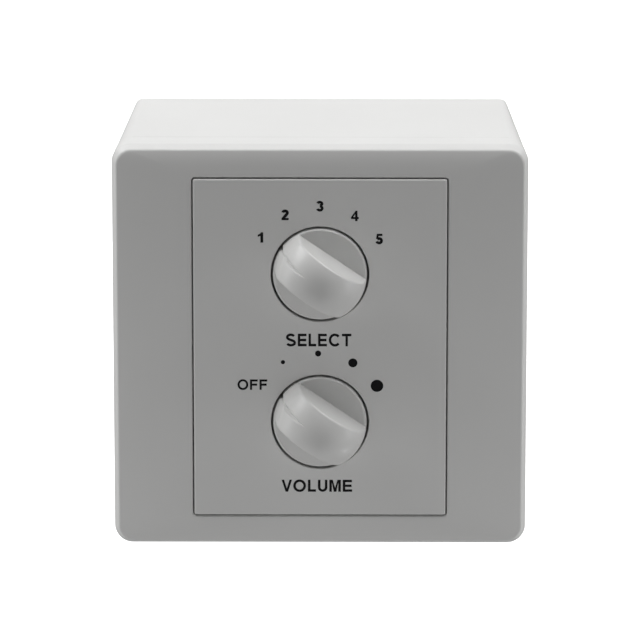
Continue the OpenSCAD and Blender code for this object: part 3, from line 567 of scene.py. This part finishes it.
panel_rings = [
    rounded_ring(flange_half_w, flange_half_h, panel_corner, flange_back),
    rounded_ring(flange_half_w, flange_half_h, panel_corner, flange_depth),
    rounded_ring(panel_half_w, panel_half_h, panel_corner, flange_depth),
]
for turn in quarter_turn(edge_steps):
    inset = panel_round * (1 - math.cos(turn))
    depth = panel_depth - panel_round * (1 - math.sin(turn))
    panel_rings.append(rounded_ring(panel_half_w - inset, panel_half_h - inset, panel_corner, depth))
insert_panel = make_piece("panel_plate", skin(panel_rings))

panel_backs = []
panel_cuts = []
for level in knob_levels.values():
    cup = [(well_radius + well_wall, well_back), (well_radius + well_wall, flange_back + overlap)]
    panel_backs.append(skin([round_ring(r, d, 0, level, well_steps) for r, d in cup]))
    well = [(well_radius, well_floor)]
    for turn in quarter_turn(edge_steps):
        well.append((
            well_radius + well_lip * (1 - math.cos(turn)),
            panel_depth - well_lip * (1 - math.sin(turn)),
        ))
    well.append((well_radius + well_lip, panel_depth + overlap))
    panel_cuts.append(skin([round_ring(r, d, 0, level, well_steps) for r, d in well]))
    hole_ends = (well_back - overlap, well_floor + overlap)
    panel_cuts.append(skin([round_ring(shaft_hole, d, 0, level) for d in hole_ends]))
foot_ends = (rim_depth, flange_back + overlap)
for side in (-1, 1):
    for top in (-1, 1):
        at = (side * (flange_half_w - foot_radius), top * (flange_half_h - foot_radius))
        panel_backs.append(skin([round_ring(foot_radius, d, *at) for d in foot_ends]))
combine(insert_panel, panel_backs, "UNION")
combine(insert_panel, panel_cuts, "DIFFERENCE")
soften(insert_panel)
insert_panel.data.materials.append(white_plastic)
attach(insert_panel, "housing")
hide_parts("insert_panel")

# Printed marks: black pad-printed numbers, words and growing dots round the two knobs.
# Each is a film of ink a few hundredths of a millimetre thick on the panel, with letters drawn from
# strokes of one width and bold numbers.
ink_lift = 0.00002
ink_sink = 0.00003
thin = 0.195
bold = 0.27
letter_gap = 0.16
tight_gap = 0.1
number_high = 0.0022
numbers = {
    "1": (-0.01227, 0.00786),
    "2": (-0.00718, 0.01266),
    "3": (0, 0.01453),
    "4": (0.0072, 0.01247),
    "5": (0.01224, 0.00756),
}
words = {
    "SELECT": ("select", -0.00028, -0.0141, 0.0136, 0.0027),
    "VOLUME": ("volume", -0.00065, -0.01387, 0.0147, 0.0026),
    "OFF": ("volume", -0.01402, 0.00806, 0.0062, 0.00224),
}
level_dots = (
    (120.7, 0.01504, 0.00044),
    (91.5, 0.01481, 0.00063),
    (61.9, 0.0145, 0.00095),
    (33.5, 0.01421, 0.0013),
)
ink = moulded_plastic(
    "printing_ink", light=(0.012, 0.012, 0.013), dark=(0.006, 0.006, 0.007), gloss=(0.5, 0.6), grain=9000.0
)
ink.node_tree.nodes["Principled BSDF"].inputs["IOR"].default_value = 1.2


def bow(x, y, wide, high, first, last, steps=24):
    """Points along part of an oval, by the angles of its ends in degrees."""
    angles = [math.radians(first + (last - first) * step / steps) for step in range(steps + 1)]
    return [(x + wide * math.cos(a), y + high * math.sin(a)) for a in angles]


def stroke(points, width, closed=False):
    """Film of one width along a line, with mitred corners."""
    rings = []
    count = len(points)
    for i, point in enumerate(points):
        here = Vector(point)
        before = Vector(points[(i - 1) % count]) if closed or i else None
        after = Vector(points[(i + 1) % count]) if closed or i < count - 1 else None
        into = (here - before).normalized() if before else (after - here).normalized()
        out = (after - here).normalized() if after else into
        side = Vector((-into.y - out.y, into.x + out.x)).normalized()
        side *= width / 2 / side.dot(Vector((-into.y, into.x)))
        corners = ((here + side, 0.5), (here - side, 0.5), (here - side, -0.5), (here + side, -0.5))
        rings.append([Vector((p.x, p.y, z)) for p, z in corners])
    return skin(rings, closed)


def plate(*points):
    """Film with a straight-sided outline."""
    return skin([[Vector((x, y, z)) for x, y in points] for z in (-0.5, 0.5)])


def glyph(sign):
    """Films that make up a letter or number, one unit high, and its width."""
    half = thin / 2
    if sign == "1":
        return [plate(
            (0.25, 0), (0.51, 0), (0.51, 1), (0.31, 1), (0.2, 0.85), (0, 0.76), (0, 0.55), (0.25, 0.66)
        )], 0.51
    if sign == "2":
        top = bow(0.33, 0.7, 0.215, 0.19, 170, -38)
        return [stroke(top + [(0.1, 0.1)], bold), plate((0, 0), (0.67, 0), (0.67, 0.2), (0, 0.2))], 0.67
    if sign == "3":
        return [
            stroke(bow(0.32, 0.73, 0.21, 0.16, 165, -90), bold - 0.02),
            stroke(bow(0.32, 0.3, 0.23, 0.195, 90, -165), bold - 0.02),
        ], 0.67
    if sign == "4":
        return [
            plate((0.39, 0), (0.61, 0), (0.61, 1), (0.43, 1), (0.39, 0.94)),
            plate((0.43, 1), (0, 0.37), (0, 0.2), (0.2, 0.39), (0.41, 0.69)),
            plate((0, 0.2), (0.73, 0.2), (0.73, 0.39), (0, 0.39)),
        ], 0.73
    if sign == "5":
        return [
            plate((0.11, 1), (0.63, 1), (0.63, 0.8), (0.27, 0.8), (0.24, 0.6), (0.03, 0.48)),
            stroke(bow(0.32, 0.33, 0.23, 0.22, 140, -165), bold - 0.01),
        ], 0.67
    if sign == "S":
        top = bow(0.41, 0.725, 0.39 - half, 0.29 - half, 25, 238)
        return [stroke(top + bow(0.42, 0.275, 0.42 - half, 0.29 - half, 58, -157), thin)], 0.84
    if sign == "C":
        return [stroke(bow(0.5, 0.5, 0.5 - half, 0.52 - half, 40, 320), thin)], 0.93
    if sign == "O":
        return [stroke(bow(0.5, 0.5, 0.5 - half, 0.52 - half, 0, 350, 35), thin, True)], 1.0
    if sign == "U":
        bend = bow(0.37, 0.37, 0.37 - half, 0.37 - half, 180, 360)
        return [stroke([(half, 1)] + bend + [(0.74 - half, 1)], thin)], 0.74
    if sign == "L":
        return [stroke([(half, 1), (half, half), (0.63, half)], thin)], 0.63
    if sign == "T":
        stem = 0.39 - half, 0.39 + half
        low = 1 - thin
        return [plate(
            (stem[0], 0), (stem[1], 0), (stem[1], low), (0.78, low),
            (0.78, 1), (0, 1), (0, low), (stem[0], low),
        )], 0.78
    if sign == "V":
        return [plate(
            (0.41 - half, 0), (0.41 + half, 0), (0.82, 1), (0.82 - thin, 1), (0.41, 0.27), (thin, 1), (0, 1)
        )], 0.82
    if sign == "M":
        return [plate(
            (0, 0), (thin, 0), (thin, 0.8), (0.45 - half, 0), (0.45 + half, 0), (0.9 - thin, 0.8),
            (0.9 - thin, 0), (0.9, 0), (0.9, 1), (0.64, 1), (0.45, 0.32), (0.26, 1), (0, 1),
        )], 0.9
    middle, top = 0.5 - half, 1 - thin
    arms = {"E": ((0, 0.73), (middle, 0.69), (top, 0.72)), "F": ((middle, 0.66), (top, 0.72))}[sign]
    outline = [(0, 1), (0, 0)]
    for level, reach in arms:
        if level:
            outline.append((thin, level))
        outline += [(reach, level), (reach, level + thin)]
        if level < top:
            outline.append((thin, level + thin))
    if sign == "F":
        outline.insert(2, (thin, 0))
    return [plate(*outline)], 0.73


def print_on_panel(mark):
    """Gives a mark its ink and fixes it to the panel."""
    mark.data.materials.clear()
    mark.data.materials.append(ink)
    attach(mark, "housing")


def printed(name, signs, x, z, width, high):
    """Closed film in the shape of a word or number, about its middle on the panel."""
    word = bmesh.new()
    reach = 0.0
    for sign in signs:
        films, wide = glyph(sign)
        letter = make_piece("letter", films[0])
        combine(letter, films[1:], "UNION")
        letter.data.transform(Matrix.Translation((reach, 0, 0)))
        word.from_mesh(letter.data)
        bpy.data.objects.remove(letter)
        end = reach + wide
        reach = end + (tight_gap if sign == "V" else letter_gap)
    stretch = width / end if width else high
    for vertex in word.verts:
        p = vertex.co
        lift = ink_lift if p.z > 0 else -ink_sink
        vertex.co = Vector((x + (p.x - end / 2) * stretch, -panel_depth - lift, z + (p.y - 0.5) * high))
    bmesh.ops.recalc_face_normals(word, faces=word.faces)
    print_on_panel(make_piece(name, word))


for sign, (x, z) in numbers.items():
    printed(f"number_{sign}", sign, x, knob_levels["select"] + z, None, number_high)
for text, (switch, x, z, width, high) in words.items():
    printed(f"word_{text.lower()}", text, x, knob_levels[switch] + z, width, high)
for count, (angle, circle, radius) in enumerate(level_dots, 1):
    x = circle * math.cos(math.radians(angle))
    z = knob_levels["volume"] + circle * math.sin(math.radians(angle))
    film_ends = (panel_depth - ink_sink, panel_depth + ink_lift)
    print_on_panel(make_piece(f"level_dot_{count}", skin([round_ring(radius, d, x, z) for d in film_ends])))

# Knobs: two dials of smooth white ABS, pushed on to the flats of the shafts and turning in the wells.
# Each has a ridge with drafted sides across it, cut from a tall dome with squarer shoulders at the pointer's
# end, and a pointer groove that deepens towards the rim.
knob_radius = 0.00975
knob_back = -0.0040
dome_radius = 0.0097
dome_high = 0.01175
ridge_half = 0.0046
ridge_draft = math.radians(1)
end_lean = math.tan(math.radians(9.5))
end_spread = 0.1
shoulder = 2.2
ridge_round = 0.00055
ridge_foot = -0.0008
ridge_in = 0.00001
dial_edge = 0.00052
dial_edge_deep = 0.0009
dial_rise = 0.0004
skirt_thick = 0.0016
hub_radius = 0.005
hollow_high = 0.002
shaft_bore = 0.00306
shaft_flat = 0.00162
bore_deep = 0.00956
shaft_end = knob_back + bore_deep
pointer_angle = math.radians(145.5)
groove_deep = 0.00055
groove_end_deep = 0.00012
groove_start = 0.0042
groove_bend = 0.0008
groove_soft = 0.00006
groove_pitch = 0.00004
groove_turn = math.radians(0.25)
groove_turns = 16
groove_reach = dome_radius - groove_deep
groove_end = dome_high * (1 - (groove_start / dome_radius) ** shoulder) ** (1 / shoulder) - groove_end_deep
groove_rise = groove_end - groove_bend
groove_span = groove_reach - groove_start
groove_middle = (groove_reach ** 2 - groove_start ** 2 - groove_rise ** 2) / (2 * groove_span)


def soft_least(a, b):
    """The lesser of two lengths, with the corner between them rounded."""
    near = max(groove_soft - abs(a - b), 0) / groove_soft
    return min(a, b) - near * near * groove_soft / 4


def grooved(point, deeper=0.0):
    """Draws a point in to the pointer groove: x runs along the pointer, y across it, z out from the panel."""
    if point.x <= 0:
        return point
    wall = groove_reach + abs(point.y) - deeper
    if point.z < groove_bend:
        return Vector((soft_least(point.x, wall), point.y, point.z))
    along = Vector((point.x - groove_middle, point.z - groove_bend))
    along = along.normalized() * soft_least(along.length, wall - groove_middle)
    return Vector((along.x + groove_middle, point.y, along.y + groove_bend))


def ridge_shape():
    """Ridge with round edges: a core cut from a dome and a drafted strip, grown by the radius of the edges."""
    column_steps = 14
    end_steps = 12
    crease_steps = 4
    dome_steps = 72
    halvings = 40
    settle_rounds = 4
    least_crease = 0.0001
    core_radius = dome_radius - ridge_round
    core_high = dome_high - ridge_round
    core_half = ridge_half - ridge_round
    lean = math.tan(ridge_draft)

    def front(x, y):
        """Height of the core's dome, with squarer shoulders on the pointer's side."""
        if x < 0:
            return core_high * math.sqrt(max(1 - (x * x + y * y) / core_radius ** 2, 0))
        fall = core_high * (1 - math.sqrt(1 - (y / core_radius) ** 2))
        return core_high * max(1 - (x / core_radius) ** shoulder, 0) ** (1 / shoulder) - fall

    def end_reach(y, z):
        """Distance of the pointer's end from the axis. It leans in, and most so in its middle."""
        return math.sqrt(core_radius ** 2 - y * y) - z * end_lean * (1 - end_spread * (y / core_half) ** 2)

    def slopes(surface, a, b):
        """Rise of a surface along its two coordinates."""
        near = 0.000001
        along = (surface(a + near, b) - surface(a - near, b)) / (2 * near)
        return along, (surface(a, b + near) - surface(a, b - near)) / (2 * near)

    def front_out(x, y):
        """Outward direction of the dome."""
        rise_x, rise_y = slopes(front, x, y)
        return Vector((-rise_x, -rise_y, 1)).normalized()

    def end_out(y, z):
        """Outward direction of the pointer's end."""
        rise_y, rise_z = slopes(end_reach, y, z)
        return Vector((1, -rise_y, -rise_z)).normalized()

    def core_line(share):
        """Core points and their outward directions over the dome, at a share of the ridge's half width."""
        def side(z):
            """Place across the ridge at a height."""
            return share * (core_half - lean * z)

        low, crease = least_crease, core_high
        for attempt in range(halvings):
            middle = (low + crease) / 2
            if front(end_reach(side(middle), middle), side(middle)) > middle:
                low = middle
            else:
                crease = middle
        line = []
        for step in range(end_steps + 1):
            z = crease * step / end_steps
            line.append((Vector((end_reach(side(z), z), side(z), z)), end_out(side(z), z)))
        point, before = line[-1]
        after = front_out(point.x, point.y)
        line += [(point, before.slerp(after, step / crease_steps)) for step in range(1, crease_steps + 1)]
        far_reach = math.sqrt(core_radius ** 2 - (share * core_half) ** 2)
        for step in range(1, dome_steps + 1):
            turn = math.pi * step / dome_steps
            reach = point.x if step < dome_steps / 2 else far_reach
            x = reach * math.cos(turn)
            y = point.y
            for attempt in range(settle_rounds):
                y = side(front(x, y))
            line.append((Vector((x, y, front(x, y))), front_out(x, y)))
        point = line[-1][0]
        line[-1] = (point, Vector((point.x, point.y, 0)).normalized())
        drop = Vector((0, -share * lean * ridge_foot, ridge_foot))
        ends = [(p + drop, out) for p, out in (line[0], line[-1])]
        return [ends[0]] + line + [ends[1]]

    fine = [groove_pitch / core_half * i for i in range(column_steps + 1)]
    coarse = [fine[-1] + (1 - fine[-1]) * i / column_steps for i in range(1, column_steps + 1)]
    half = fine + coarse
    shares = [-share for share in reversed(half[1:])] + half
    columns = [[p + out * ridge_round for p, out in core_line(share)] for share in shares]
    for side in (-1, 1):
        wall = Vector((0, side * math.cos(ridge_draft), math.sin(ridge_draft)))
        for step in range(1, edge_steps + 1):
            edge = [p + out.slerp(wall, step / edge_steps) * ridge_round for p, out in core_line(side)]
            columns.insert(len(columns) if side > 0 else 0, edge)
    shape = bmesh.new()
    lines = [[shape.verts.new(grooved(p, ridge_in)) for p in column] for column in columns]
    for near, far in zip(lines, lines[1:]):
        for i in range(len(near) - 1):
            shape.faces.new((near[i], near[i + 1], far[i + 1], far[i]))
    shape.faces.new(lines[0])
    shape.faces.new(lines[-1])
    shape.faces.new([line[0] for line in lines] + [line[-1] for line in reversed(lines)])
    bmesh.ops.recalc_face_normals(shape, faces=shape.faces)
    return shape


def dial_shape():
    """Dial, hub and skirt turned about the shaft, with the end of the pointer groove in the rim."""
    dial_steps = 8
    rim_turns = 60
    section = [
        (hub_radius, knob_back),
        (hub_radius, knob_back + hollow_high),
        (knob_radius - skirt_thick, knob_back + hollow_high),
        (knob_radius - skirt_thick, knob_back),
        (knob_radius - dial_edge / 2, knob_back),
        (knob_radius, knob_back + dial_edge / 2),
    ]
    for turn in quarter_turn(dial_steps):
        section.append((
            knob_radius - dial_edge * (1 - math.cos(turn)),
            dial_rise - dial_edge_deep * (1 - math.sin(turn)),
        ))
    fine = [groove_turn * i for i in range(groove_turns + 1)]
    coarse = [fine[-1] + (math.pi - fine[-1]) * i / rim_turns for i in range(1, rim_turns)]
    half = fine + coarse
    angles = [-a for a in reversed(half[1:])] + half + [math.pi]
    rings = []
    for radius, z in section:
        rings.append([grooved(Vector((radius * math.cos(a), radius * math.sin(a), z))) for a in angles])
    return skin(rings)


def bore_shape():
    """Bore for the shaft, with its flat away from the pointer."""
    half_steps = 20
    flat_turn = math.acos(-shaft_flat / shaft_bore)
    angles = [flat_turn * (i / half_steps - 1) for i in range(2 * half_steps + 1)]
    outline = [(shaft_bore * math.cos(a), shaft_bore * math.sin(a)) for a in angles]
    return skin([[Vector((x, y, z)) for x, y in outline] for z in (knob_back - overlap, shaft_end)])


# The knobs' white ABS is coloured a shade darker than the housing's white plastic. This is painted shade, so
# the dials sit darker than the panel.
knob_plastic = moulded_plastic(
    "knob_plastic", light=(0.75, 0.75, 0.74), dark=(0.73, 0.73, 0.72), gloss=(0.30, 0.36), grain=6000.0
)
for switch in switches:
    knob = make_piece(f"{switch}_pointer_knob", dial_shape())
    combine(knob, [ridge_shape()], "UNION")
    combine(knob, [bore_shape()], "DIFFERENCE")
    pointer = Vector((math.cos(pointer_angle), 0, math.sin(pointer_angle)))
    outward = Vector((0, -1, 0))
    across = outward.cross(pointer)
    turn = Matrix((pointer, across, outward)).transposed().to_4x4()
    knob.data.transform(Matrix.Translation((0, -panel_depth, knob_levels[switch])) @ turn)
    soften(knob)
    knob.data.materials.append(knob_plastic)
    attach(knob, f"{switch}_control")
    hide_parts(f"{switch}_knob")

# Floor: a plain white sheet that the box stands on. It glows evenly, as a light table does, and is seen by
# the camera alone, so it carries no shadow.
floor_reach = 20.0
floor_gap = 0.0002
floor_level = frame_low.z - floor_gap
floor_shape = bmesh.new()
bmesh.ops.create_grid(floor_shape, x_segments=2, y_segments=2, size=floor_reach)
bmesh.ops.translate(floor_shape, vec=(0, 0, floor_level), verts=floor_shape.verts)
floor = make_piece("floor", floor_shape)
floor_white, _, floor_shader = new_material("floor_white")
floor_shader.inputs["Base Color"].default_value = (0.9, 0.9, 0.9, 1)
floor_shader.inputs["Emission Color"].default_value = (1, 1, 1, 1)
floor_shader.inputs["Emission Strength"].default_value = 1.0
floor.data.materials.append(floor_white)
floor.visible_diffuse = False
floor.visible_glossy = False
floor.visible_shadow = False

# Light: a long soft box overhead, smaller ones at the sides and at the corners above and below, a wide dim
# backdrop that shows as a sheen on the top, and a white card on the floor that throws light up at the panel.
# The white surround is seen by the camera alone.
scene.view_settings.view_transform = "Standard"
world = bpy.data.worlds.new("surround")
scene.world = world
world.use_nodes = True
sky = world.node_tree.nodes["Background"]
sky.inputs["Color"].default_value = (1, 1, 1, 1)
rays = world.node_tree.nodes.new("ShaderNodeLightPath")
world.node_tree.links.new(rays.outputs["Is Camera Ray"], sky.inputs["Strength"])
panel_middle = Vector((0, -panel_depth, 0))


def soft_box(name, place, size, power, faces=panel_middle):
    """Rectangular light, turned to a point and hidden from the camera."""
    lamp = bpy.data.lights.new(name, "AREA")
    lamp.shape = "RECTANGLE"
    lamp.size, lamp.size_y = size
    lamp.energy = power
    light = bpy.data.objects.new(name, lamp)
    light.location = place
    light.rotation_euler = (Vector(place) - faces).to_track_quat("Z", "Y").to_euler()
    light.visible_camera = False
    scene.collection.objects.link(light)


small_size = (0.4, 0.4)
tall_size = (0.3, 0.8)
soft_box("front_top_light", place=(0, -0.11, 1.0), size=(1.4, 0.3), power=5.6)
soft_box("rear_left_light", place=(-0.65, 0.25, 0.7), size=small_size, power=2.0)
soft_box("rear_right_light", place=(0.65, 0.25, 0.7), size=small_size, power=2.0)
soft_box("upper_left_light", place=(-0.65, -0.12, 0.65), size=small_size, power=1.9)
soft_box("upper_right_light", place=(0.65, -0.12, 0.65), size=small_size, power=1.4)
soft_box("backdrop", place=(0, 1.2, 0.5), size=(3.0, 1.4), power=6.0)
soft_box("left_light", place=(-0.9, -panel_depth, 0), size=tall_size, power=1.5)
soft_box("right_light", place=(0.9, -panel_depth, 0), size=tall_size, power=1.5)
soft_box("lower_left_light", place=(-0.65, 0.3, -0.65), size=small_size, power=1.4)
soft_box("lower_right_light", place=(0.65, 0.3, -0.65), size=small_size, power=1.7)
above_panel = Vector((0, -panel_depth, 0.5))
soft_box("floor_card", place=(0, -0.22, floor_level), size=(0.6, 0.32), power=0.34, faces=above_panel)

# Camera: a long lens more than a metre in front of the panel, a hair to the right of its middle and well
# above it, tilted down to the panel and turned a little to the left.
view_distance = 1.200
view_height = 0.33687
view_side = 0.00638
view_tilt = math.radians(15.410)
view_turn = math.radians(0.304)
camera_data = bpy.data.cameras.new("camera")
camera_data.sensor_width = 36.0
camera_data.lens = 338.08
camera = bpy.data.objects.new("camera", camera_data)
camera.location = (view_side, -panel_depth - view_distance, view_height)
camera.rotation_euler = (math.radians(90) - view_tilt, 0, view_turn)
scene.collection.objects.link(camera)
scene.camera = camera
